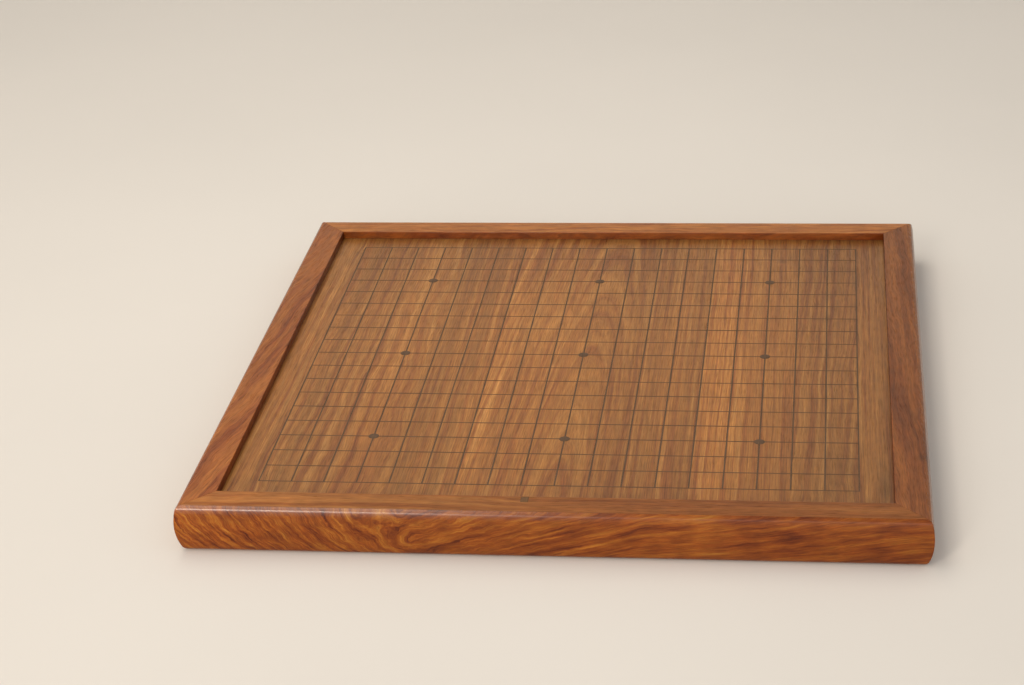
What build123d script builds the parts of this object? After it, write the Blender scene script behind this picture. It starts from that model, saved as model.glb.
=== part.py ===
from build123d import *
import math
import os

os.makedirs("parts", exist_ok=True)

# Framed go board. Four mitred rails hold a sunk playing panel of edge-joined boards.
# Millimetres. X runs left to right, Y away from the player, Z up.
# The origin is the middle of the underside, on the table.

# Playing grid
line_pitch = 22.5
line_count = 19
line_width = 1.0
inlay_depth = 1.2
star_diameter = 7.5
star_sides = 24  # flats round a star point
star_lines = (3, 9, 15)  # the star points lie where these lines cross, counted from 0
border = 22.5  # from the outer lines to the frame at the left and right
grid_setback = 3.1  # the grid lies this far behind the middle of the opening
glue_line = 0.05  # round every inlay, peg and pin

# Frame rails
frame_height = 35.0
rim_height = 6.0  # how far the rails stand above the playing face
rail_width = 25.0  # at the widest height of the rounded outer face
bulge_height = 21.0
bulge_radius = 49.0
top_edge_radius = 3.5
bottom_edge_radius = 6.0
inner_edge_chamfer = 0.5
mitre_gap = 0.06

# Playing panel
panel_thickness = 12.0
tongue_thickness = 6.0  # edge of the panel that enters the rails' grooves
tongue_depth = 10.0
groove_spare = 1.0  # room behind the tongues for the panel to swell
panel_clearance = 0.1  # above and below the tongues, and before the rails
joint_lines = (4, 6, 11, 13, 16, 18)  # board joints hide under these lines, counted from 0
first_joint_offset = 6.5  # the first joint lies this far outside the first line
edge_tongue_thickness = 4.0  # between neighbouring boards
edge_tongue_depth = 5.0
edge_tongue_height = 6.0  # its middle above the panel's underside
edge_tongue_clearance = 0.1

# Battens under the panel
batten_spacing = 150.0
batten_width = 24.0
batten_drop = 12.0  # below the panel's underside
dovetail_height = 3.5
dovetail_width = 16.0  # across its top, at the left end
dovetail_taper = 2.0  # narrower by this at the right end, so that it drives tight
dovetail_angle = 12.0
batten_clearance = 0.1
batten_edge_chamfer = 1.5
stub_width = 14.0  # stub tenons of the battens, in the left and right rails
stub_thickness = 7.0
stub_length = 9.0

# Corner joints
tenon_inset = 3.0  # from the rail's inner face
tenon_width = 12.0
tenon_thickness = 10.0
tenon_bottom = 7.0
tenon_reach = 19.0  # past the opening, into the front and back rails
tenon_clearance = 0.1
peg_width = 4.0  # square, as is the pin in the front rail
peg_reach = 14.0  # from the opening to the middle of the peg
peg_above_tenon = 2.0
peg_chamfer = 0.5

# Pin that holds the panel at mid-width
pin_offset = -16.0
pin_width = 5.1
pin_depth = 7.2
pin_edge_distance = 0.8
pin_below_tongue = 2.0

# Worked out from the sizes above
grid_span = (line_count - 1) * line_pitch
line_length = grid_span + line_width
half_opening = grid_span / 2 + border
half_frame = half_opening + rail_width
half_panel = half_opening + tongue_depth
playing_height = frame_height - rim_height
panel_bottom = playing_height - panel_thickness
tongue_bottom = playing_height - tongue_thickness
batten_bottom = panel_bottom - batten_drop
stub_bottom = batten_bottom + (batten_drop - stub_thickness) / 2
peg_height = tenon_bottom + tenon_thickness + peg_above_tenon
tenon_middle = half_opening + tenon_inset + tenon_width / 2
pin_bottom = tongue_bottom - pin_below_tongue
pin_middle = -(half_opening + pin_edge_distance + pin_depth / 2)
columns = [(n - (line_count - 1) / 2) * line_pitch for n in range(line_count)]
rows = [x + grid_setback for x in columns]
star_points = [(columns[i], rows[j]) for i in star_lines for j in star_lines]
board_joints = [columns[0] - first_joint_offset] + [columns[n] for n in joint_lines]
board_edges = [-half_panel] + board_joints + [half_panel]
playing_face = Plane.XY.offset(playing_height)


def outer_face(height):
    """Distance from the board's centre to the rounded outer face, at a height."""
    return half_frame - bulge_radius + math.sqrt(bulge_radius**2 - (height - bulge_height) ** 2)


def rail_body(turn):
    """Body of a rail: its moulded and grooved section, cut off at both mitres."""
    plan = Plane.XY.rotated((0, 0, turn))
    with BuildSketch(Plane((0, 0, 0), x_dir=-plan.y_dir, z_dir=-plan.x_dir)) as section:
        with BuildLine():
            foot = Line((half_opening, 0), (outer_face(0), 0))
            bulge = (half_frame, bulge_height)
            face = ThreePointArc(foot @ 1, bulge, (outer_face(frame_height), frame_height))
            rim = Line(face @ 1, (half_opening, frame_height))
            Line(rim @ 1, foot @ 0)
        make_face()
        fillet(section.vertices().group_by(Axis.Y)[-1].sort_by(Axis.X)[-1], top_edge_radius)
        chamfer(section.vertices().group_by(Axis.Y)[-1].sort_by(Axis.X)[0], inner_edge_chamfer)
        fillet(section.vertices().group_by(Axis.Y)[0].sort_by(Axis.X)[-1], bottom_edge_radius)
        chamfer(section.vertices().group_by(Axis.Y)[0].sort_by(Axis.X)[0], inner_edge_chamfer)
        with Locations((half_opening, tongue_bottom - panel_clearance)):
            groove_height = tongue_thickness + 2 * panel_clearance
            groove_depth = tongue_depth + groove_spare
            Rectangle(2 * groove_depth, groove_height, align=(Align.CENTER, Align.MIN), mode=Mode.SUBTRACT)
    extrude(section.sketch, amount=half_frame, both=True)
    with BuildSketch(plan) as mitres:
        mitre_end = -half_frame - mitre_gap
        Polygon((0, -mitre_gap), (-half_frame, mitre_end), (half_frame, mitre_end), align=None)
    extrude(mitres.sketch, amount=frame_height, mode=Mode.INTERSECT)


def peg_mortises():
    """Square holes for the pegs, through the cheeks and the tenons of all corners."""
    with BuildSketch() as mortises:
        with GridLocations(2 * tenon_middle, 2 * (half_opening + peg_reach), 2, 2):
            Rectangle(peg_width + 2 * glue_line, peg_width + 2 * glue_line)
    extrude(mortises.sketch, amount=peg_height, mode=Mode.SUBTRACT)


def pin_mortise():
    """Hole for the panel pin, through the front rail's lip and the panel's tongue."""
    with BuildSketch(Plane.XY.offset(pin_bottom)) as mortise:
        with Locations((pin_offset, pin_middle)):
            Rectangle(pin_width + 2 * glue_line, pin_depth + 2 * glue_line)
    extrude(mortise.sketch, amount=frame_height - pin_bottom, mode=Mode.SUBTRACT)


def dovetail(row, clearance, mode):
    """Tapered dovetail across the panel's underside, or its slot."""
    ends = []
    for x in (-half_opening, half_opening):
        taper = dovetail_taper * (x + half_opening) / (2 * half_opening)
        top = (dovetail_width - taper) / 2 + clearance
        neck = top - dovetail_height * math.tan(math.radians(dovetail_angle))
        roof = panel_bottom + dovetail_height + clearance
        with BuildSketch(Plane.YZ.offset(x)) as end:
            Polygon(
                (row - neck, panel_bottom),
                (row + neck, panel_bottom),
                (row + top, roof),
                (row - top, roof),
                align=None,
            )
        ends.append(end.sketch)
    loft(sections=ends, mode=mode)


def grid_lines(positions, spare):
    """Outlines of the inlaid lines at some columns and at all rows, widened by a spare."""
    width = line_width + 2 * spare
    with Locations(*[(x, grid_setback) for x in positions]):
        Rectangle(width, line_length + 2 * spare)
    with Locations(*[(0, y) for y in rows]):
        Rectangle(line_length + 2 * spare, width)


def star_outlines(spare, mode=Mode.ADD):
    """Outlines of the star points, widened by a spare."""
    with Locations(*star_points):
        RegularPolygon(star_diameter / 2 + spare, star_sides, mode=mode)


def inlay_beds(left, right):
    """Beds for the inlaid lines and star points that reach a board."""
    near = [x for x in columns if left - line_width < x < right + line_width]
    if near:
        with BuildSketch(playing_face) as beds:
            grid_lines(near, glue_line)
            star_outlines(glue_line)
        extrude(beds.sketch, amount=-inlay_depth, mode=Mode.SUBTRACT)


# Front and back rails, mortised for the tenons of the side rails
for name, turn in (("front_rail", 0), ("back_rail", 180)):
    with BuildPart() as rail:
        rail_body(turn)
        with BuildSketch(Plane.XY.offset(tenon_bottom - tenon_clearance)):
            with GridLocations(2 * tenon_middle, 0, 2, 1):
                mortise_length = 2 * (half_opening + tenon_reach + tenon_clearance)
                Rectangle(tenon_width + 2 * tenon_clearance, mortise_length)
        extrude(amount=tenon_thickness + 2 * tenon_clearance, mode=Mode.SUBTRACT)
        peg_mortises()
        pin_mortise()
    rail.part.label = name
    export_step(rail.part, f"parts/{name}.step")

# Side rails, with a tenon past each mitre and mortises for the battens
for name, turn in (("right_rail", 90), ("left_rail", -90)):
    side = math.copysign(1, turn)
    with BuildPart() as rail:
        rail_body(turn)
        with BuildSketch(Plane.XY.offset(tenon_bottom)):
            with Locations((side * tenon_middle, 0)):
                Rectangle(tenon_width, 2 * (half_opening + tenon_reach))
        extrude(amount=tenon_thickness)
        with BuildSketch(Plane.XY.offset(stub_bottom - batten_clearance)):
            with GridLocations(0, batten_spacing, 1, 3):
                stub_reach = half_opening + stub_length + batten_clearance
                Rectangle(2 * stub_reach, stub_width + 2 * batten_clearance)
        extrude(amount=stub_thickness + 2 * batten_clearance, mode=Mode.SUBTRACT)
        peg_mortises()
    rail.part.label = name
    export_step(rail.part, f"parts/{name}.step")

with BuildPart() as corner_pegs:
    with BuildSketch():
        with GridLocations(2 * tenon_middle, 2 * (half_opening + peg_reach), 2, 2):
            Rectangle(peg_width, peg_width)
    extrude(amount=peg_height)
    chamfer(corner_pegs.faces().group_by(Axis.Z)[-1].edges(), peg_chamfer)
corner_pegs.part.label = "corner_pegs"
export_step(corner_pegs.part, "parts/corner_pegs.step")

# Battens that keep the panel flat, driven into their slots from the left
for name, row in (("front_batten", -1), ("middle_batten", 0), ("back_batten", 1)):
    batten_row = row * batten_spacing
    half_batten = half_opening - batten_clearance
    with BuildPart() as batten:
        with BuildSketch(Plane.XY.offset(batten_bottom)):
            with Locations((0, batten_row)):
                Rectangle(2 * half_batten, batten_width)
        extrude(amount=batten_drop)
        chamfer(batten.edges().filter_by(Axis.X).group_by(Axis.Z)[0], batten_edge_chamfer)
        dovetail(batten_row, 0, Mode.ADD)
        with BuildSketch(Plane.XY.offset(batten_bottom)):
            with Locations((0, batten_row)):
                Rectangle(2 * half_batten, batten_width)
        extrude(amount=frame_height, mode=Mode.INTERSECT)
        with BuildSketch(Plane.XY.offset(stub_bottom)):
            with Locations((0, batten_row)):
                Rectangle(2 * (half_opening + stub_length), stub_width)
        extrude(amount=stub_thickness)
    batten.part.label = name
    export_step(batten.part, f"parts/{name}.step")

# Boards of the playing panel, tongued into each other and into the rails
for number in range(1, len(board_edges)):
    left, right = board_edges[number - 1], board_edges[number]
    with BuildPart() as board:
        with BuildSketch(Plane.XZ):
            with Locations((left, panel_bottom)):
                Rectangle(right - left, panel_thickness, align=(Align.MIN, Align.MIN))
            if right < half_panel:
                with Locations((right, panel_bottom + edge_tongue_height)):
                    Rectangle(edge_tongue_depth, edge_tongue_thickness, align=(Align.MIN, Align.CENTER))
            if left > -half_panel:
                with Locations((left, panel_bottom + edge_tongue_height)):
                    Rectangle(
                        edge_tongue_depth + edge_tongue_clearance,
                        edge_tongue_thickness + 2 * edge_tongue_clearance,
                        align=(Align.MIN, Align.CENTER),
                        mode=Mode.SUBTRACT,
                    )
        extrude(amount=half_panel, both=True)
        with BuildSketch(Plane.XY.offset(panel_bottom)):
            Rectangle(2 * half_frame, 2 * half_frame)
            inner_side = 2 * (half_opening - panel_clearance)
            Rectangle(inner_side, inner_side, mode=Mode.SUBTRACT)
        extrude(amount=panel_thickness - tongue_thickness, mode=Mode.SUBTRACT)
        for row in (-1, 0, 1):
            dovetail(row * batten_spacing, batten_clearance, Mode.SUBTRACT)
        inlay_beds(left, right)
        pin_mortise()
    board.part.label = f"panel_board_{number}"
    export_step(board.part, f"parts/panel_board_{number}.step")

with BuildPart() as panel_pin:
    with BuildSketch(Plane.XY.offset(pin_bottom)):
        with Locations((pin_offset, pin_middle)):
            Rectangle(pin_width, pin_depth)
    extrude(amount=frame_height - pin_bottom)
panel_pin.part.label = "panel_pin"
export_step(panel_pin.part, "parts/panel_pin.step")

# Inlaid lines. Those across the board are whole, and those that run away from the
# player lie in short lengths between them. The star points cut through both.
with BuildPart() as long_lines:
    with BuildSketch(playing_face):
        with Locations(*[(x, grid_setback) for x in columns]):
            Rectangle(line_width, line_length)
        with Locations(*[(0, y) for y in rows]):
            Rectangle(line_length, line_width + 2 * glue_line, mode=Mode.SUBTRACT)
        star_outlines(glue_line, Mode.SUBTRACT)
    extrude(amount=-inlay_depth)
long_lines.part.label = "long_lines"
export_step(long_lines.part, "parts/long_lines.step")

with BuildPart() as cross_lines:
    with BuildSketch(playing_face):
        with Locations(*[(0, y) for y in rows]):
            Rectangle(line_length, line_width)
        star_outlines(glue_line, Mode.SUBTRACT)
    extrude(amount=-inlay_depth)
cross_lines.part.label = "cross_lines"
export_step(cross_lines.part, "parts/cross_lines.step")

with BuildPart() as star_inlays:
    with BuildSketch(playing_face):
        star_outlines(0)
    extrude(amount=-inlay_depth)
star_inlays.part.label = "star_points"
export_step(star_inlays.part, "parts/star_points.step")
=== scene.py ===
"""A framed go board of oiled rosewood: mitred, moulded rails round a sunk panel with inlays."""

import math

import bmesh
import bpy
from mathutils import Matrix, Vector


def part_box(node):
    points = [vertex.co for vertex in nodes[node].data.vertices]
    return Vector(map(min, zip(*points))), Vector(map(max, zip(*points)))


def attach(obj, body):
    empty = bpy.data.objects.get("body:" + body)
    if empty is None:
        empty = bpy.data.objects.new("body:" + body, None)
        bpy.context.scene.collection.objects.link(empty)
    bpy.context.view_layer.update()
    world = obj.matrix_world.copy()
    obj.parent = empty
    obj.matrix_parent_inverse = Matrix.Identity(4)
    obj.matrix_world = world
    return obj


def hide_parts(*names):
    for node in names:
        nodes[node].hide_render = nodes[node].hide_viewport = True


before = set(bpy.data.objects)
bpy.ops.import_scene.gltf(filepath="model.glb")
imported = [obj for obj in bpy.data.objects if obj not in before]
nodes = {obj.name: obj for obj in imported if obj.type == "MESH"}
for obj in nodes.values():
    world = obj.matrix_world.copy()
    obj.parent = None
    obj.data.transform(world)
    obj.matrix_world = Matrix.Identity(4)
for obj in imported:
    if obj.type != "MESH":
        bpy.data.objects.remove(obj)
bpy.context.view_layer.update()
MM = 0.001

# The board's own sizes, in millimetres, as in its solids.
FRAME_HALF = 250.0
OPENING_HALF = 225.0
FRAME_HEIGHT = 35.0
PLAYING_HEIGHT = 29.0
BULGE_HEIGHT = 21.0
BULGE_RADIUS = 49.0
LINE_PITCH = 22.5
LINE_COUNT = 19
LINE_WIDTH = 1.0
INLAY_DEPTH = 1.2
INLAY_WAVER = 0.5  # peak to peak
LINE_LAP = 0.15  # how far each short length runs into the cross lines
LONG_LINE_PROUD = 0.03
CROSS_LINE_PROUD = 0.05
STAR_PROUD = 0.07
STAR_EASE = 0.06
PIN_EASE = 0.25
GRID_SETBACK = 3.1
STAR_DIAMETER = 7.5
STAR_SPACING = 6 * LINE_PITCH
GROOVE_HEIGHTS = (22.9, 29.1)
GROOVE_DEPTH = 11.0
TENON = (228.0, 240.0)
TENON_HEIGHTS = (7.0, 17.0)
TENON_REACH = 244.0
MORTISE_PLAY = 0.1
HOLE_PLAY = 0.05
MITRE_PLAY = 0.03
MITRE_ARRIS = 0.12
PEG_SIZE = 4.0
BATTEN_SPACING = 150.0
BATTEN_MORTISE_HALF = 7.1
BATTEN_MORTISE_HEIGHTS = (7.4, 14.6)
BATTEN_MORTISE_DEPTH = 9.1
TOOL_OVERSHOOT = 5.0
CLOSE = 0.01  # near enough to count as the same place
SMOOTH_ANGLE = 35  # degrees
FIRST_LINE = -LINE_PITCH * (LINE_COUNT - 1) / 2
# Where the rounded outer edge has been rubbed: from dry to smooth, in height and outwards.
RUBBED_HEIGHTS = (29.5, 32.5)
RUBBED_REACH = (244.6, 246.0)


# ---------------------------------------------------------------- camera, light and surroundings

scene = bpy.context.scene
scene.view_settings.view_transform = "Standard"

camera_data = bpy.data.cameras.new("photograph_view")
camera_data.sensor_width = 36.0
camera_data.lens = 82.43  # solved from the crossings of the playing lines, with place and angles
camera = bpy.data.objects.new("photograph_view", camera_data)
camera.location = (0.18136, -1.56766, 0.78650)
camera.rotation_euler = [math.radians(a) for a in (64.75285, 2.80627, 7.17744)]
scene.collection.objects.link(camera)
scene.camera = camera


def linear(hex_colour):
    """An sRGB hex colour as the linear RGBA that shaders work in."""
    channels = [int(hex_colour[i:i + 2], 16) / 255 for i in (1, 3, 5)]
    return [c / 12.92 if c <= 0.04045 else ((c + 0.055) / 1.055) ** 2.4 for c in channels] + [1.0]


def node(tree, kind, feeds=None, stops=None, **settings):
    """Adds a shader node with its settings, its inputs' feeds, and a ramp's or curve's stops."""
    made = tree.nodes.new("ShaderNode" + kind)
    for key, value in settings.items():
        setattr(made, key, value)
    for key, value in (feeds or {}).items():
        if isinstance(value, bpy.types.NodeSocket):
            tree.links.new(value, made.inputs[key])
        else:
            made.inputs[key].default_value = value
    if stops and kind == "ValToRGB":
        ramp = made.color_ramp
        ramp.elements[0].position, ramp.elements[0].color = stops[0]
        ramp.elements[1].position, ramp.elements[1].color = stops[-1]
        for place, colour in stops[1:-1]:
            ramp.elements.new(place).color = colour
    elif stops:
        points = made.mapping.curves[0].points
        points[0].location, points[1].location = stops[0], stops[-1]
        for place, height in stops[1:-1]:
            points.new(place, height)
        made.mapping.update()
    return made


def area_lamp(name, place, aim, size, power, colour):
    """A rectangular softbox at place, in metres, turned towards aim."""
    data = bpy.data.lights.new(name, "AREA")
    data.shape = "RECTANGLE"
    data.size, data.size_y = size
    data.energy = power
    data.color = linear(colour)[:3]
    lamp = bpy.data.objects.new(name, data)
    lamp.location = place
    lamp.rotation_euler = (Vector(aim) - Vector(place)).to_track_quat("-Z", "Y").to_euler()
    scene.collection.objects.link(lamp)


world = bpy.data.worlds.new("studio")
scene.world = world
world.use_nodes = True
world_tree = world.node_tree
world_tree.nodes.clear()
direction = node(world_tree, "TexCoord")
towards = node(world_tree, "SeparateXYZ", {0: direction.outputs["Generated"]})
# The room is open on the left and closed on the right, so that the left inner wall lies in shade.
fade = node(world_tree, "MapRange", {"Value": towards.outputs["X"], "From Min": -0.7,
                                     "From Max": 0.7, "To Min": 0.57, "To Max": 0.49})
sky = node(world_tree, "Background", {"Color": linear("#fffdfa"),
                                      "Strength": fade.outputs["Result"]})
node(world_tree, "OutputWorld", {"Surface": sky.outputs["Background"]})

area_lamp("strip_overhead", (-0.66, -0.1, 2.0), (-0.66, -0.1, 0), (0.9, 2.9), 19, "#fff1de")
area_lamp("strip_front_left", (-0.80, -2.1, 1.35), (-0.1, -0.25, 0), (0.3, 1.0), 16, "#fff1de")
area_lamp("softbox_front", (0.0, -5.6, 1.9), (0, -0.25, 0), (6.0, 3.0), 120, "#fffcf8")


# ---------------------------------------------------------------- modelling helpers

def point(x, y, z):
    """A place given in millimetres."""
    return Vector((x, y, z)) * MM


def block(name, low, high):
    """A block between two corners in millimetres, its object at the origin."""
    bpy.ops.object.select_all(action="DESELECT")
    low, high = Vector(low) * MM, Vector(high) * MM
    bpy.ops.mesh.primitive_cube_add(size=1, location=(low + high) / 2, scale=high - low)
    made = bpy.context.object
    made.name = made.data.name = name
    bpy.ops.object.transform_apply(location=True, rotation=True, scale=True)
    return made


def pick(piece, kind, test):
    """In edit mode, selects only the faces, edges or vertices whose middle passes, in mm."""
    bpy.ops.mesh.select_mode(type={"faces": "FACE", "edges": "EDGE", "verts": "VERT"}[kind])
    bpy.ops.mesh.select_all(action="DESELECT")
    mesh = bmesh.from_edit_mesh(piece.data)
    for part in getattr(mesh, kind):
        corners = [part] if kind == "verts" else part.verts
        places = [v.co / MM for v in corners]
        middle = sum(places, Vector()) / len(places)
        if test(middle, places):
            part.select_set(True)
    mesh.select_flush_mode()
    bmesh.update_edit_mesh(piece.data)


def cut(piece, tool):
    """Takes the tool's volume out of the piece."""
    bpy.context.view_layer.objects.active = piece
    modifier = piece.modifiers.new("cut", "BOOLEAN")
    modifier.operation, modifier.solver, modifier.object = "DIFFERENCE", "EXACT", tool
    bpy.ops.object.modifier_apply(modifier=modifier.name)
    bpy.data.objects.remove(tool)


def unite(piece, tool):
    """Adds the tool's volume to the piece."""
    bpy.context.view_layer.objects.active = piece
    modifier = piece.modifiers.new("unite", "BOOLEAN")
    modifier.operation, modifier.solver, modifier.object = "UNION", "EXACT", tool
    bpy.ops.object.modifier_apply(modifier=modifier.name)
    bpy.data.objects.remove(tool)


def only(piece):
    """Selects one piece and makes it active."""
    bpy.ops.object.select_all(action="DESELECT")
    piece.select_set(True)
    bpy.context.view_layer.objects.active = piece


def copy_of(piece, name):
    """A copy with a mesh of its own."""
    made = piece.copy()
    made.data = piece.data.copy()
    made.name = made.data.name = name
    scene.collection.objects.link(made)
    return made


def dress(piece, material, slot, *stands_for):
    """Finishes a new piece: shading, material, body, the nodes it stands for. slot is not used."""
    only(piece)
    bpy.ops.object.shade_smooth_by_angle(angle=math.radians(SMOOTH_ANGLE))
    piece.data.materials.clear()
    piece.data.materials.append(material)
    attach(piece, "root")
    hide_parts(*stands_for)


# ---------------------------------------------------------------- materials

# Painted shade: in the recess the rails' inner walls turn redder, as red, green and blue factors.
INNER_WALL_SHADE_TINT = (1.25, 0.85, 0.6)


def rosewood(name, grain, pith, lean, tones, ring=5.0, warp=3.0, bands=None, seed=0.0, mottle=0.10,
             grit=0.24, layer_length=300.0, eddying=False, face=None, run=None, wall=None, marks=(),
             gloss=0.42):
    """Oiled rosewood, planed, waxed and rubbed: layers round a pith, open pores, a satin sheen.

    grain is the axis along the fibres, pith a point in mm on the heart line and lean its slope
    over the length. ring is how thick a growth layer is, warp how far it wanders and layer_length
    how far it lasts. tones run from the dark layers to the pale ones. bands are the light and dark
    across the board, run the same along the grain, as places in mm with a factor at each.
    eddying is for the rails, whose pores follow the layers. face describes the eddy, tones and wax
    of the front rail's outer face, where the saw met a knot. wall is how much painted shade darkens
    a rail's inner wall. marks are soft spots: middle and half widths in mm, and how much light each
    takes away, or adds if it is negative. grit and mottle are how strongly the fibres and the slow
    changes of light show, gloss how shiny the wood is.
    """
    material = bpy.data.materials.new("oiled_rosewood_" + name)
    material.use_nodes = True
    tree = material.node_tree
    tree.nodes.clear()

    def math_of(operation, first, second=0.0):
        return node(tree, "Math", {0: first, 1: second}, operation=operation).outputs[0]

    def vector_of(operation, first, second=None):
        feeds = {0: first}
        if second is not None:
            feeds["Scale" if operation == "SCALE" else 1] = second
        made = node(tree, "VectorMath", feeds, operation=operation)
        return made.outputs["Value" if operation in ("LENGTH", "DOT_PRODUCT") else "Vector"]

    def range_of(value, low, high, to_low, to_high):
        return node(tree, "MapRange", {"Value": value, "From Min": low, "From Max": high,
                                       "To Min": to_low, "To Max": to_high}).outputs[0]

    place = node(tree, "TexCoord")
    mm = vector_of("SCALE", place.outputs["Object"], 1000.0)
    split = node(tree, "SeparateXYZ", {0: mm})
    along = split.outputs[grain]

    # Distance from the heart line, which the saw crossed at a slight lean.
    axis = Vector(lean)
    axis["XYZ".index(grain)] = 1.0
    axis.normalize()
    wander = node(tree, "Mapping", {"Vector": mm, "Location": (seed * 7.3, seed * 3.1, seed * 5.7),
                                    "Scale": [1 / 110 if a == grain else 1 / 34 for a in "XYZ"]})
    wander = node(tree, "TexNoise", {"Vector": wander.outputs[0], "Scale": 1.0, "Detail": 4.0,
                                     "Roughness": 0.5})
    wander = vector_of("SUBTRACT", wander.outputs["Color"], (0.5, 0.5, 0.5))
    bent = vector_of("ADD", mm, vector_of("SCALE", wander, 2 * warp))
    out = vector_of("CROSS_PRODUCT", vector_of("SUBTRACT", bent, tuple(pith)), tuple(axis))
    radius = vector_of("LENGTH", out)
    if face:
        # Layers wrap round a ray's start, run along it on the right and slant down on the left.
        curl = node(tree, "Mapping", {"Vector": mm, "Scale": (1 / 13, 1 / 13, 1 / 8)})
        curl = node(tree, "TexNoise", {"Vector": curl.outputs[0], "Scale": 1.0, "Detail": 3.0,
                                       "Roughness": 0.55})
        curl = vector_of("SUBTRACT", curl.outputs["Color"], (0.5, 0.5, 0.5))
        curly = vector_of("ADD", bent, vector_of("SCALE", curl, range_of(along, *face["curl"])))
        flat = vector_of("MULTIPLY", vector_of("SUBTRACT", curly, face["centre"]), (1, 0, 1))
        reach = math_of("MAXIMUM", vector_of("DOT_PRODUCT", flat, face["ray"]), 0.0)
        nearest = node(tree, "CombineXYZ", {
            0: math_of("MULTIPLY", reach, face["ray"][0]),
            2: math_of("MULTIPLY", reach, face["ray"][2])}).outputs[0]
        wrapped = vector_of("LENGTH", vector_of("SUBTRACT", flat, nearest))
        slant = math_of("MULTIPLY", split.outputs["Z"], range_of(along, *face["slant"]))
        ease = range_of(along, *face["ease"])
        eddy = math_of("ADD", math_of("ADD", wrapped, slant), ease)
        outside = range_of(split.outputs["Y"], face["edge"], face["edge"] + 0.4, 1.0, 0.0)
        radius = node(tree, "Mix", {0: outside, 2: radius, 3: eddy}).outputs[0]

    # Growth layers: uneven dark and pale bands, each a few millimetres thick.
    lasting = math_of("MULTIPLY", along, 1 / layer_length)
    if face:
        # On the face they are short on the left, and drawn out to the right of the eddy.
        turn, short, long = face["lasting"]
        drawn = math_of("ADD", range_of(along, -FRAME_HALF, turn, 0.0, (turn + FRAME_HALF) / short),
                        range_of(along, turn, FRAME_HALF, 0.0, (FRAME_HALF - turn) / long))
        lasting = node(tree, "Mix", {0: outside, 2: lasting, 3: drawn}).outputs[0]
    layer = node(tree, "CombineXYZ", {0: math_of("MULTIPLY", radius, 1 / ring), 1: lasting,
                                      2: seed})
    layers = node(tree, "TexNoise", {"Vector": layer.outputs[0], "Scale": 1.0, "Detail": 6.0,
                                     "Roughness": 0.74})
    colour = node(tree, "ValToRGB", {"Fac": layers.outputs["Fac"]},
                  stops=[(p, linear(h)) for p, h in tones]).outputs["Color"]
    if face:
        swing = math_of("SUBTRACT", layers.outputs["Fac"], 0.5)
        swing = math_of("MULTIPLY", swing, range_of(along, *face["contrast"]))
        blotch = node(tree, "Mapping", {"Vector": mm, "Scale": (1 / 30, 1 / 19, 1 / 10)})
        blotch = node(tree, "TexNoise", {"Vector": blotch.outputs[0], "Scale": 1.0, "Detail": 2.0})
        swing = math_of("ADD", swing, range_of(blotch.outputs["Fac"], 0.3, 0.7, 0.46, 0.54))
        rich = node(tree, "ValToRGB", {"Fac": swing},
                    stops=[(p, linear(h)) for p, h in face["tones"]]).outputs["Color"]
        colour = node(tree, "Mix", {0: outside, 6: colour, 7: rich}, data_type="RGBA").outputs[2]

    # Fibres and pores. Real pores are 0.2 mm wide, and are drawn 0.5 mm wide to show.
    if eddying:
        fine = node(tree, "CombineXYZ", {0: radius, 1: math_of("MULTIPLY", along, 1 / 24), 2: seed})
    else:
        fine = node(tree, "Mapping", {"Vector": bent, "Location": (0, 0, seed),
                                      "Scale": [1 / 38 if a == grain else 1.0 for a in "XYZ"]})
    fibres = node(tree, "TexNoise", {"Vector": fine.outputs[0], "Scale": 1.25, "Detail": 3.0,
                                     "Roughness": 0.65})
    pores = node(tree, "TexNoise", {"Vector": fine.outputs[0], "Scale": 2.4, "Detail": 1.0})
    pores = range_of(pores.outputs["Fac"], 0.52, 0.66, 0.0, 1.0)
    # A slow change of light across the grain, as the fibres lean in and out of the face.
    flame = node(tree, "Mapping", {"Vector": mm,
                                   "Scale": [1 / 13 if a == grain else 1 / 7 for a in "XYZ"]})
    flame = node(tree, "TexNoise", {"Vector": flame.outputs[0], "Scale": 1.0, "Detail": 3.0})

    level = math_of("MULTIPLY", range_of(fibres.outputs["Fac"], 0.3, 0.7, 1 - grit, 1 + grit),
                    range_of(flame.outputs["Fac"], 0.3, 0.7, 1 - mottle, 1 + mottle))
    level = math_of("MULTIPLY", level, range_of(pores, 0.0, 1.0, 1.0, 0.8))
    across = split.outputs["Y" if grain == "X" else "X"]
    off_middle = math_of("ABSOLUTE", across)
    for position, course in ((across, bands), (along, run)):
        if course:
            first, last = course[0][0], course[-1][0]
            curve = node(tree, "FloatCurve", {"Value": range_of(position, first, last, 0.0, 1.0)},
                         stops=[((a - first) / (last - first), h / 2) for a, h in course])
            level = math_of("MULTIPLY", level, math_of("MULTIPLY", curve.outputs[0], 2.0))
    # Painted shade: the inner wall, down in the recess, is coloured darker by the factor wall.
    if wall:
        inner = range_of(off_middle, OPENING_HALF + 0.1, OPENING_HALF + 0.7, 1.0, 0.0)
        level = math_of("MULTIPLY", level, range_of(inner, 0.0, 1.0, 1.0, wall))
    for x, y, half_x, half_y, depth in marks:
        spot = vector_of("SUBTRACT", bent, (x, y, 0))
        spot = vector_of("MULTIPLY", spot, (1 / half_x, 1 / half_y, 0))
        spot = range_of(vector_of("LENGTH", spot), 0.2, 1.0, 1 - depth, 1.0)
        level = math_of("MULTIPLY", level, spot)
    tinted = vector_of("SCALE", colour, level)
    # Painted shade in the recess also turns the inner wall redder.
    if wall:
        redder = vector_of("MULTIPLY", tinted, INNER_WALL_SHADE_TINT)
        tinted = node(tree, "Mix", {0: inner, 6: tinted, 7: redder}, data_type="RGBA").outputs[2]

    wax = 0.0
    rough = math_of("ADD", range_of(fibres.outputs["Fac"], 0.2, 0.8, 0.26, 0.36),
                    math_of("MULTIPLY", pores, 0.2))
    if eddying:
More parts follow.
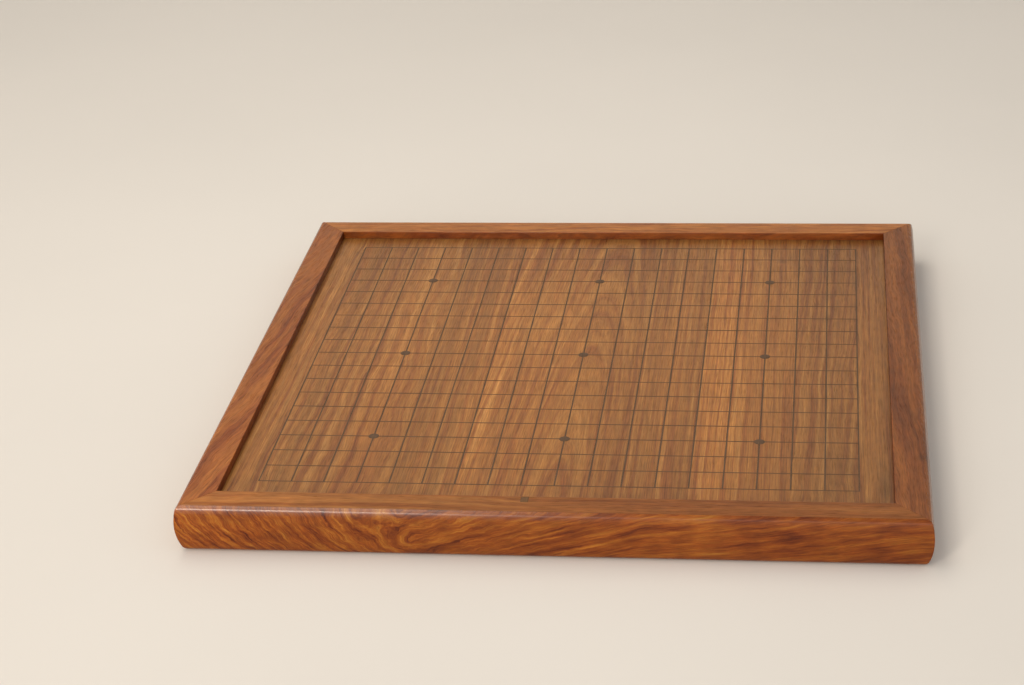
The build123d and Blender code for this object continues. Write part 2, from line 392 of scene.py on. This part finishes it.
        # The upper edge is rubbed smooth. On the front rail the wax on it thins out to the right.
        rubbed = range_of(split.outputs["Z"], *RUBBED_HEIGHTS, 0.0, 1.0)
        rubbed = math_of("MULTIPLY", rubbed, range_of(off_middle, *RUBBED_REACH, 0.0, 1.0))
        if face:
            rubbed = wax = math_of("MULTIPLY", rubbed, range_of(along, *face["wax"]))
        rough = math_of("MULTIPLY", rough, range_of(rubbed, 0.0, 1.0, 1.0, 0.6))
    relief = math_of("SUBTRACT", fibres.outputs["Fac"], pores)
    bump = node(tree, "Bump", {"Height": relief, "Strength": 0.12 if eddying else 0.25,
                               "Distance": 0.0001})
    shader = node(tree, "BsdfPrincipled", {
        "Base Color": tinted, "Roughness": rough, "Normal": bump.outputs[0],
        "IOR": 1.5, "Specular IOR Level": gloss, "Coat Weight": wax, "Coat Roughness": 0.27})
    node(tree, "OutputMaterial", {"Surface": shader.outputs[0]})
    return material


def dark_inlay(name, colour, grain="Y"):
    """Black-stained hardwood, rubbed flush: charcoal brown, faint fibres, duller than rosewood."""
    material = bpy.data.materials.new("stained_hardwood_" + name)
    material.use_nodes = True
    tree = material.node_tree
    tree.nodes.clear()
    place = node(tree, "TexCoord")
    fibre = node(tree, "Mapping", {"Vector": place.outputs["Object"],
                                   "Scale": [90 if a == grain else 1400 for a in "XYZ"]})
    fibre = node(tree, "TexNoise", {"Vector": fibre.outputs[0], "Scale": 1.0, "Detail": 3.0})
    pale = [min(1.0, c * 1.6 + 0.01) for c in linear(colour)[:3]] + [1.0]
    shade = node(tree, "ValToRGB", {"Fac": fibre.outputs["Fac"]},
                 stops=[(0.3, linear(colour)), (0.75, pale)])
    rough = node(tree, "MapRange", {"Value": fibre.outputs["Fac"], "To Min": 0.45, "To Max": 0.65})
    bump = node(tree, "Bump", {"Height": fibre.outputs["Fac"], "Strength": 0.2, "Distance": 0.0001})
    shader = node(tree, "BsdfPrincipled", {
        "Base Color": shade.outputs["Color"], "Roughness": rough.outputs[0],
        "Normal": bump.outputs[0], "IOR": 1.5, "Specular IOR Level": 0.3})
    node(tree, "OutputMaterial", {"Surface": shader.outputs[0]})
    return material


def plain_paper(name, colour):
    """Matt backdrop paper, so only the board has a sheen. Painted light pools round the board."""
    material = bpy.data.materials.new("matt_paper_" + name)
    material.use_nodes = True
    tree = material.node_tree
    tree.nodes.clear()
    place = node(tree, "TexCoord")
    cloud = node(tree, "TexNoise", {"Vector": place.outputs["Object"], "Scale": 2.5, "Detail": 3.0})
    base = linear(colour)
    shade = node(tree, "ValToRGB", {"Fac": cloud.outputs["Fac"]},
                 stops=[(0.3, [c * 0.97 for c in base[:3]] + [1]), (0.7, base)]).outputs["Color"]
    # Painted light: the paper's colour is brightest round the board and darkens away from it.
    painted_light_pool = node(tree, "VectorMath", {0: place.outputs["Object"], 1: (0.0, 0.2, 0.0)},
                operation="DISTANCE")
    painted_light_pool = node(tree, "MapRange", {"Value": painted_light_pool.outputs["Value"], "From Min": 0.3, "From Max": 1.1,
                                   "To Min": 1.0, "To Max": 0.88})
    shade = node(tree, "VectorMath", {0: shade, "Scale": painted_light_pool.outputs[0]},
                 operation="SCALE").outputs[0]
    shader = node(tree, "BsdfPrincipled", {"Base Color": shade, "Roughness": 0.9,
                                           "Specular IOR Level": 0.1})
    node(tree, "OutputMaterial", {"Surface": shader.outputs[0]})
    return material


# ---------------------------------------------------------------- backdrop

bpy.ops.object.select_all(action="DESELECT")
bpy.ops.mesh.primitive_plane_add(size=12, location=(0, 0, 0))
floor = bpy.context.object
floor.name = "floor"
floor.data.materials.append(plain_paper("floor", "#e6e3df"))

bpy.ops.object.select_all(action="DESELECT")
bpy.ops.mesh.primitive_plane_add(size=12, location=(0, 2.4, 3.0), rotation=(math.pi / 2, 0, 0))
wall = bpy.context.object
wall.name = "wall"
wall.data.materials.append(plain_paper("wall", "#f1e8da"))


# ---------------------------------------------------------------- the four rails

def bulge_inset(height):
    """How far the rounded outer face lies behind its widest point at a height."""
    return BULGE_RADIUS - math.sqrt(BULGE_RADIUS ** 2 - (height - BULGE_HEIGHT) ** 2)


def moulded_rail(name):
    """The front rail's bar: rounded outer face, eased edges, groove for the panel, mitred ends."""
    rail = block(name, (-FRAME_HALF, -FRAME_HALF, 0), (FRAME_HALF, -OPENING_HALF, FRAME_HEIGHT))
    # A ring every 2 mm makes the outer face round.
    heights = sorted([4.5 + 2.0 * step for step in range(14)] + list(GROOVE_HEIGHTS))
    bpy.ops.object.mode_set(mode="EDIT")
    for height in heights:
        bpy.ops.mesh.select_all(action="SELECT")
        bpy.ops.mesh.bisect(plane_co=point(0, 0, height), plane_no=(0, 0, 1))
    for height in [0.0, FRAME_HEIGHT] + heights:
        pick(rail, "verts", lambda m, _: abs(m.z - height) < CLOSE and m.y < -FRAME_HALF + CLOSE)
        bpy.ops.transform.translate(value=point(0, bulge_inset(height), 0))
    # The groove that holds the panel's tongues.
    pick(rail, "faces", lambda m, _: m.y > -OPENING_HALF - CLOSE
         and GROOVE_HEIGHTS[0] < m.z < GROOVE_HEIGHTS[1])
    bpy.ops.mesh.extrude_region_move(TRANSFORM_OT_translate={"value": point(0, -GROOVE_DEPTH, 0)})
    # Rounded edges: full underneath, smaller along the top, slight towards the panel.
    for inside, height, width, steps in ((False, FRAME_HEIGHT, 2.6, 8), (False, 0.0, 3.8, 8),
                                         (True, FRAME_HEIGHT, 0.6, 3), (True, 0.0, 0.6, 2)):
        pick(rail, "edges", lambda m, ends: abs(m.z - height) < CLOSE and abs(m.x) < 1
             and (abs(m.y + OPENING_HALF) < CLOSE if inside else m.y < -FRAME_HALF + 6)
             and abs(ends[0].x - ends[1].x) > 100)
        bpy.ops.mesh.bevel(offset=width * MM, segments=steps, affect="EDGES", profile=0.5)
    for side in (-1, 1):
        bpy.ops.mesh.select_all(action="SELECT")
        normal = Vector((side, 1, 0)).normalized()
        corner = point(side * FRAME_HALF, -FRAME_HALF, 0) - normal * MITRE_PLAY * MM
        bpy.ops.mesh.bisect(plane_co=corner, plane_no=normal, use_fill=True, clear_outer=True)
    # The mitres' arrises are taken off very slightly, so each joint reads as a fine line.
    pick(rail, "edges", lambda m, ends: all(abs(abs(e.x) + e.y) < 0.2 for e in ends)
         and (m.z > PLAYING_HEIGHT + 0.2 or m.y < -OPENING_HALF - GROOVE_DEPTH - 1))
    bpy.ops.mesh.bevel(offset=MITRE_ARRIS * MM, segments=1, affect="EDGES")
    bpy.ops.object.mode_set(mode="OBJECT")
    return rail


front = moulded_rail("front_rail_moulded")
right = copy_of(front, "right_rail_moulded")
right.data.transform(Matrix.Rotation(math.radians(90), 4, "Z"))

# Blind mortise and tenon at each corner, with a square peg from below through both.
peg_low, peg_high = (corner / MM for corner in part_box("corner_pegs"))
unite(right, block("tenons", (TENON[0], -TENON_REACH, TENON_HEIGHTS[0]),
                   (TENON[1], TENON_REACH, TENON_HEIGHTS[1])))
for side in (-1, 1):
    across = sorted((side * (TENON[0] - MORTISE_PLAY), side * (TENON[1] + MORTISE_PLAY)))
    cut(front, block("mortise",
                     (across[0], -TENON_REACH - MORTISE_PLAY, TENON_HEIGHTS[0] - MORTISE_PLAY),
                     (across[1], -OPENING_HALF + TOOL_OVERSHOOT, TENON_HEIGHTS[1] + MORTISE_PLAY)))
    x = peg_low.x if side < 0 else peg_high.x - PEG_SIZE
    y = peg_low.y if side < 0 else peg_high.y - PEG_SIZE
    for rail, hole_x, hole_y in ((front, x, peg_low.y), (right, peg_high.x - PEG_SIZE, y)):
        cut(rail, block("peg_hole", (hole_x - HOLE_PLAY, hole_y - HOLE_PLAY, -1),
                        (hole_x + PEG_SIZE + HOLE_PLAY, hole_y + PEG_SIZE + HOLE_PLAY, peg_high.z)))
# Mortises for the stub tenons of the battens.
low, high = BATTEN_MORTISE_HEIGHTS
for row in (-1, 0, 1):
    middle = row * BATTEN_SPACING
    cut(right, block("batten_mortise",
                     (OPENING_HALF - TOOL_OVERSHOOT, middle - BATTEN_MORTISE_HALF, low),
                     (OPENING_HALF + BATTEN_MORTISE_DEPTH, middle + BATTEN_MORTISE_HALF, high)))
back = copy_of(front, "back_rail_moulded")
left = copy_of(right, "left_rail_moulded")
for rail in (back, left):
    rail.data.transform(Matrix.Rotation(math.radians(180), 4, "Z"))
rails = {"front": front, "back": back, "left": left, "right": right}

pin_low, pin_high = (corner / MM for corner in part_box("panel_pin"))
pin_play = Vector((HOLE_PLAY, HOLE_PLAY, 1))
cut(front, block("pin_hole", pin_low - pin_play, pin_high + pin_play))

RAIL_TONES = [(0.28, "#582a0e"), (0.40, "#80451a"), (0.50, "#935625"),
              (0.62, "#a46932"), (0.75, "#b2783e")]
FACE_TONES = [(0.32, "#3f1504"), (0.41, "#672b08"), (0.50, "#894410"),
              (0.59, "#a05d1b"), (0.70, "#b67d34")]
LEFT_TONES = [(0.30, "#5b280f"), (0.42, "#844119"), (0.52, "#9a5724"),
              (0.64, "#aa672d"), (0.76, "#b87738")]
BACK_TONES = [(0.28, "#63300f"), (0.40, "#92511f"), (0.52, "#a8672d"),
              (0.64, "#b9793a"), (0.76, "#c48a48")]
RIGHT_TONES = [(0.30, "#4f2610"), (0.42, "#713a17"), (0.54, "#884d20"),
               (0.66, "#995c29"), (0.78, "#a86c35")]
# Where there are four numbers, they are from and to along the rail in mm and a value at each.
# lasting is where the layers lengthen, and their length in mm before it and after it.
front_face = {
    "centre": (-92, -249, 15), "ray": (0.956, 0, 0.292), "edge": -245.6,
    "slant": (-128, -98, -0.9, 0.0), "ease": (60, 250, 0.0, -30.0), "lasting": (-90, 22.0, 75.0),
    "curl": (-80, 40, 9.0, 2.0), "contrast": (-120, 110, 0.88, 0.66), "wax": (-100, 60, 1.0, 0.0),
    "tones": FACE_TONES}
# wall sets how much painted shade darkens each rail's inner wall.
rail_woods = {
    "front": rosewood(
        "front_rail", "X", (0, -180, -60), (0, 0.02, 0.02), RAIL_TONES, ring=4.2, warp=4.0,
        seed=3.0, eddying=True, mottle=0.12, grit=0.15, gloss=0.25, face=front_face,
        run=[(-250, 1.12), (-200, 1.0), (-120, 0.93), (80, 0.92), (250, 0.86)],
        marks=[(-205, -236, 60, 10, -0.22)]),
    "back": rosewood(
        "back_rail", "X", (0, 330, 60), (0, 0.02, 0.04), BACK_TONES, ring=5.0, warp=6.0, seed=6.0,
        eddying=True, mottle=0.14, gloss=0.3, layer_length=90.0, wall=0.42,
        run=[(-250, 1.04), (250, 1.04)]),
    "left": rosewood(
        "left_rail", "Y", (-300, 0, -40), (0.14, 0, 0.02), LEFT_TONES, ring=5.0, warp=7.0, seed=9.0,
        eddying=True, mottle=0.08, gloss=0.3, layer_length=260.0, wall=0.4,
        run=[(-250, 1.04), (-120, 1.0), (0, 0.94), (250, 0.95)]),
    "right": rosewood(
        "right_rail", "Y", (320, 0, -40), (-0.04, 0, 0.02), RIGHT_TONES, ring=5.0, warp=7.0,
        seed=12.0, eddying=True, mottle=0.1, gloss=0.3, layer_length=220.0, wall=0.42,
        run=[(-250, 0.97), (250, 0.93)],
        marks=[(244, -160, 9, 7, 0.25), (238, -100, 6, 20, 0.15)]),
}
for side, rail in rails.items():
    dress(rail, rail_woods[side], "rail_rosewood", side + "_rail")


# ---------------------------------------------------------------- boards, battens and pegs

PANEL_TONES = [(0.30, "#612e11"), (0.41, "#7e4920"), (0.52, "#905d29"),
               (0.63, "#9f6d37"), (0.75, "#b08148")]
# Painted shade and painted reflection of the back rail's dark inner wall, darkening the boards.
PAINTED_SHADE_AT_BACK_WALL = [(-235, 1.0), (200, 1.0), (214, 0.92), (222, 0.72), (235, 0.6)]
# Each board's pith and lean, then how its layers run, its bands across and its marks.
STRAIGHT = (0.01, 0, 0.02)
BOARDS = [
    # The first board's bands end darker against the left rail: painted shade at the rail's foot.
    ((-420, 0, -60), STRAIGHT, {
        "ring": 2.6, "warp": 1.5, "bands": [(-225, 0.95), (-216, 1.05), (-209, 1.08)]}),
    ((-60, 0, -150), (0.05, 0, 0.02), {
        "ring": 2.5, "warp": 4.0, "layer_length": 480.0,
        "bands": [(-209, 0.8), (-205, 1.0), (-198, 1.05), (-191, 0.86), (-178, 1.0), (-160, 1.0),
                  (-142, 1.14), (-125, 1.07), (-112.5, 1.0)]}),
    ((90, 0, -100), STRAIGHT, {
        "ring": 2.5, "warp": 2.0, "layer_length": 480.0,
        "bands": [(-112.5, 1.0), (-103, 0.9), (-95, 1.06), (-81, 0.92), (-76, 1.12),
                  (-67.5, 0.98)]}),
    ((6, 0, 4.0), (0.03, 0, -0.06), {
        "ring": 4.0, "warp": 2.4,
        "bands": [(-67.5, 1.29), (-56, 1.22), (-49, 1.08), (-40, 1.15), (-15, 1.13), (5, 1.06),
                  (25, 1.0), (38, 0.93), (45, 0.93)]}),
    ((240, 0, -80), STRAIGHT, {
        "ring": 2.5, "warp": 2.0, "layer_length": 480.0,
        "bands": [(45, 1.03), (57, 0.93), (70, 1.06), (83, 0.92), (90, 0.95)]}),
    ((300, 0, -80), STRAIGHT, {
        "ring": 2.5, "warp": 2.5, "layer_length": 480.0,
        "bands": [(90, 1.2), (109, 1.28), (125, 1.1), (140, 1.04), (157.5, 0.98)],
        "marks": [(144, 180, 5, 5, 0.3), (153, -176, 3, 4, 0.25)]}),
    ((0, 0, -180), STRAIGHT, {
        "ring": 2.5, "warp": 4.0, "layer_length": 480.0,
        "bands": [(157.5, 0.95), (170, 0.86), (202.5, 0.84)],
        "marks": [(190, -165, 14, 40, 0.14)]}),
    # The last board's bands end darker against the right rail: painted shade at the rail's foot.
    ((420, 0, -60), STRAIGHT, {
        "ring": 2.6, "warp": 1.5, "bands": [(202.5, 0.9), (215, 0.88), (225, 0.8)],
        "marks": [(219, -190, 7, 40, 0.28)]}),
]
# Every board carries the painted shade and reflection along the back rail.
for number, (pith, lean, growth) in enumerate(BOARDS, 1):
    name = f"panel_board_{number}"
    nodes[name].data.materials.clear()
    nodes[name].data.materials.append(
        rosewood(name, "Y", pith, lean, PANEL_TONES, run=PAINTED_SHADE_AT_BACK_WALL, seed=20 + number, **growth))
batten_wood = rosewood("battens", "X", (0, 400, -90), (0, 0.02, 0.01), RAIL_TONES,
                       ring=7.0, warp=3.0, seed=31)
for name in ("front_batten", "middle_batten", "back_batten", "corner_pegs"):
    nodes[name].data.materials.clear()
    nodes[name].data.materials.append(batten_wood)


# ---------------------------------------------------------------- lines, star points and pin

def array(piece, count, step):
    """Repeats the piece count times at a step in millimetres, each copy in the piece's own mesh."""
    only(piece)
    modifier = piece.modifiers.new("row", "ARRAY")
    modifier.count = count
    modifier.use_relative_offset = False
    modifier.use_constant_offset = True
    modifier.constant_offset_displace = point(*step)
    bpy.ops.object.modifier_apply(modifier=modifier.name)


wobble = bpy.data.textures.new("hand_cut_wobble", "CLOUDS")
wobble.noise_scale = 0.045
wobble.noise_depth = 1


def waver(piece, direction, amount):
    """Lets the lines waver a little from straight, as hand-cut beds do."""
    only(piece)
    modifier = piece.modifiers.new("waver", "DISPLACE")
    modifier.texture = wobble
    modifier.texture_coords = "LOCAL"
    modifier.direction = direction
    modifier.mid_level = 0.5
    modifier.strength = amount * MM
    bpy.ops.object.modifier_apply(modifier=modifier.name)


def strip(name, low, high, pieces):
    """A thin inlay strip, divided along its length so that it can waver."""
    made = block(name, low, high)
    longest = 0 if high[0] - low[0] > high[1] - low[1] else 1
    length = high[longest] - low[longest]
    bpy.ops.object.mode_set(mode="EDIT")
    pick(made, "edges", lambda _, ends: abs(ends[0][longest] - ends[1][longest]) > length * 0.9)
    bpy.ops.mesh.subdivide(number_cuts=pieces - 1)
    bpy.ops.object.mode_set(mode="OBJECT")
    return made


grid_front = FIRST_LINE + GRID_SETBACK
line_bottom = PLAYING_HEIGHT - INLAY_DEPTH
half_width = LINE_WIDTH / 2
long_lines = strip("long_lines_inlay",
                   (FIRST_LINE - half_width, grid_front + half_width - LINE_LAP, line_bottom),
                   (FIRST_LINE + half_width, grid_front + LINE_PITCH - half_width + LINE_LAP,
                    PLAYING_HEIGHT + LONG_LINE_PROUD), pieces=4)
array(long_lines, LINE_COUNT - 1, (0, LINE_PITCH, 0))
array(long_lines, LINE_COUNT, (LINE_PITCH, 0, 0))
waver(long_lines, "X", INLAY_WAVER)
cross_lines = strip("cross_lines_inlay",
                    (FIRST_LINE - half_width, grid_front - half_width, line_bottom),
                    (-FIRST_LINE + half_width, grid_front + half_width,
                     PLAYING_HEIGHT + CROSS_LINE_PROUD), pieces=72)
array(cross_lines, LINE_COUNT, (0, LINE_PITCH, 0))
waver(cross_lines, "Y", INLAY_WAVER)

bpy.ops.object.select_all(action="DESELECT")
star_depth = INLAY_DEPTH + STAR_PROUD  # proud of the lines by a hair
bpy.ops.mesh.primitive_cylinder_add(
    vertices=48, radius=STAR_DIAMETER / 2 * MM, depth=star_depth * MM,
    location=point(-STAR_SPACING, -STAR_SPACING + GRID_SETBACK, line_bottom + star_depth / 2))
stars = bpy.context.object
stars.name = stars.data.name = "star_points_inlay"
bpy.ops.object.transform_apply(location=True, rotation=True, scale=True)
bpy.ops.object.mode_set(mode="EDIT")
pick(stars, "faces", lambda m, places: len(places) > 4 and m.z > PLAYING_HEIGHT)
bpy.ops.mesh.bevel(offset=STAR_EASE * MM, segments=2, affect="EDGES")
bpy.ops.object.mode_set(mode="OBJECT")
array(stars, 3, (STAR_SPACING, 0, 0))
array(stars, 3, (0, STAR_SPACING, 0))

new_pin = block("panel_pin_eased", pin_low, pin_high)
bpy.ops.object.mode_set(mode="EDIT")
bpy.ops.mesh.select_all(action="SELECT")
bpy.ops.mesh.bevel(offset=PIN_EASE * MM, segments=2, affect="EDGES")
bpy.ops.object.mode_set(mode="OBJECT")

INK, PIN_BROWN = "#503a28", "#5e4023"
ink = dark_inlay("lines", INK)
dress(long_lines, ink, "dark_inlay", "long_lines")
dress(cross_lines, dark_inlay("cross_lines", INK, "X"), "dark_inlay", "cross_lines")
dress(stars, ink, "dark_inlay", "star_points")
dress(new_pin, dark_inlay("pin", PIN_BROWN), "dark_inlay", "panel_pin")
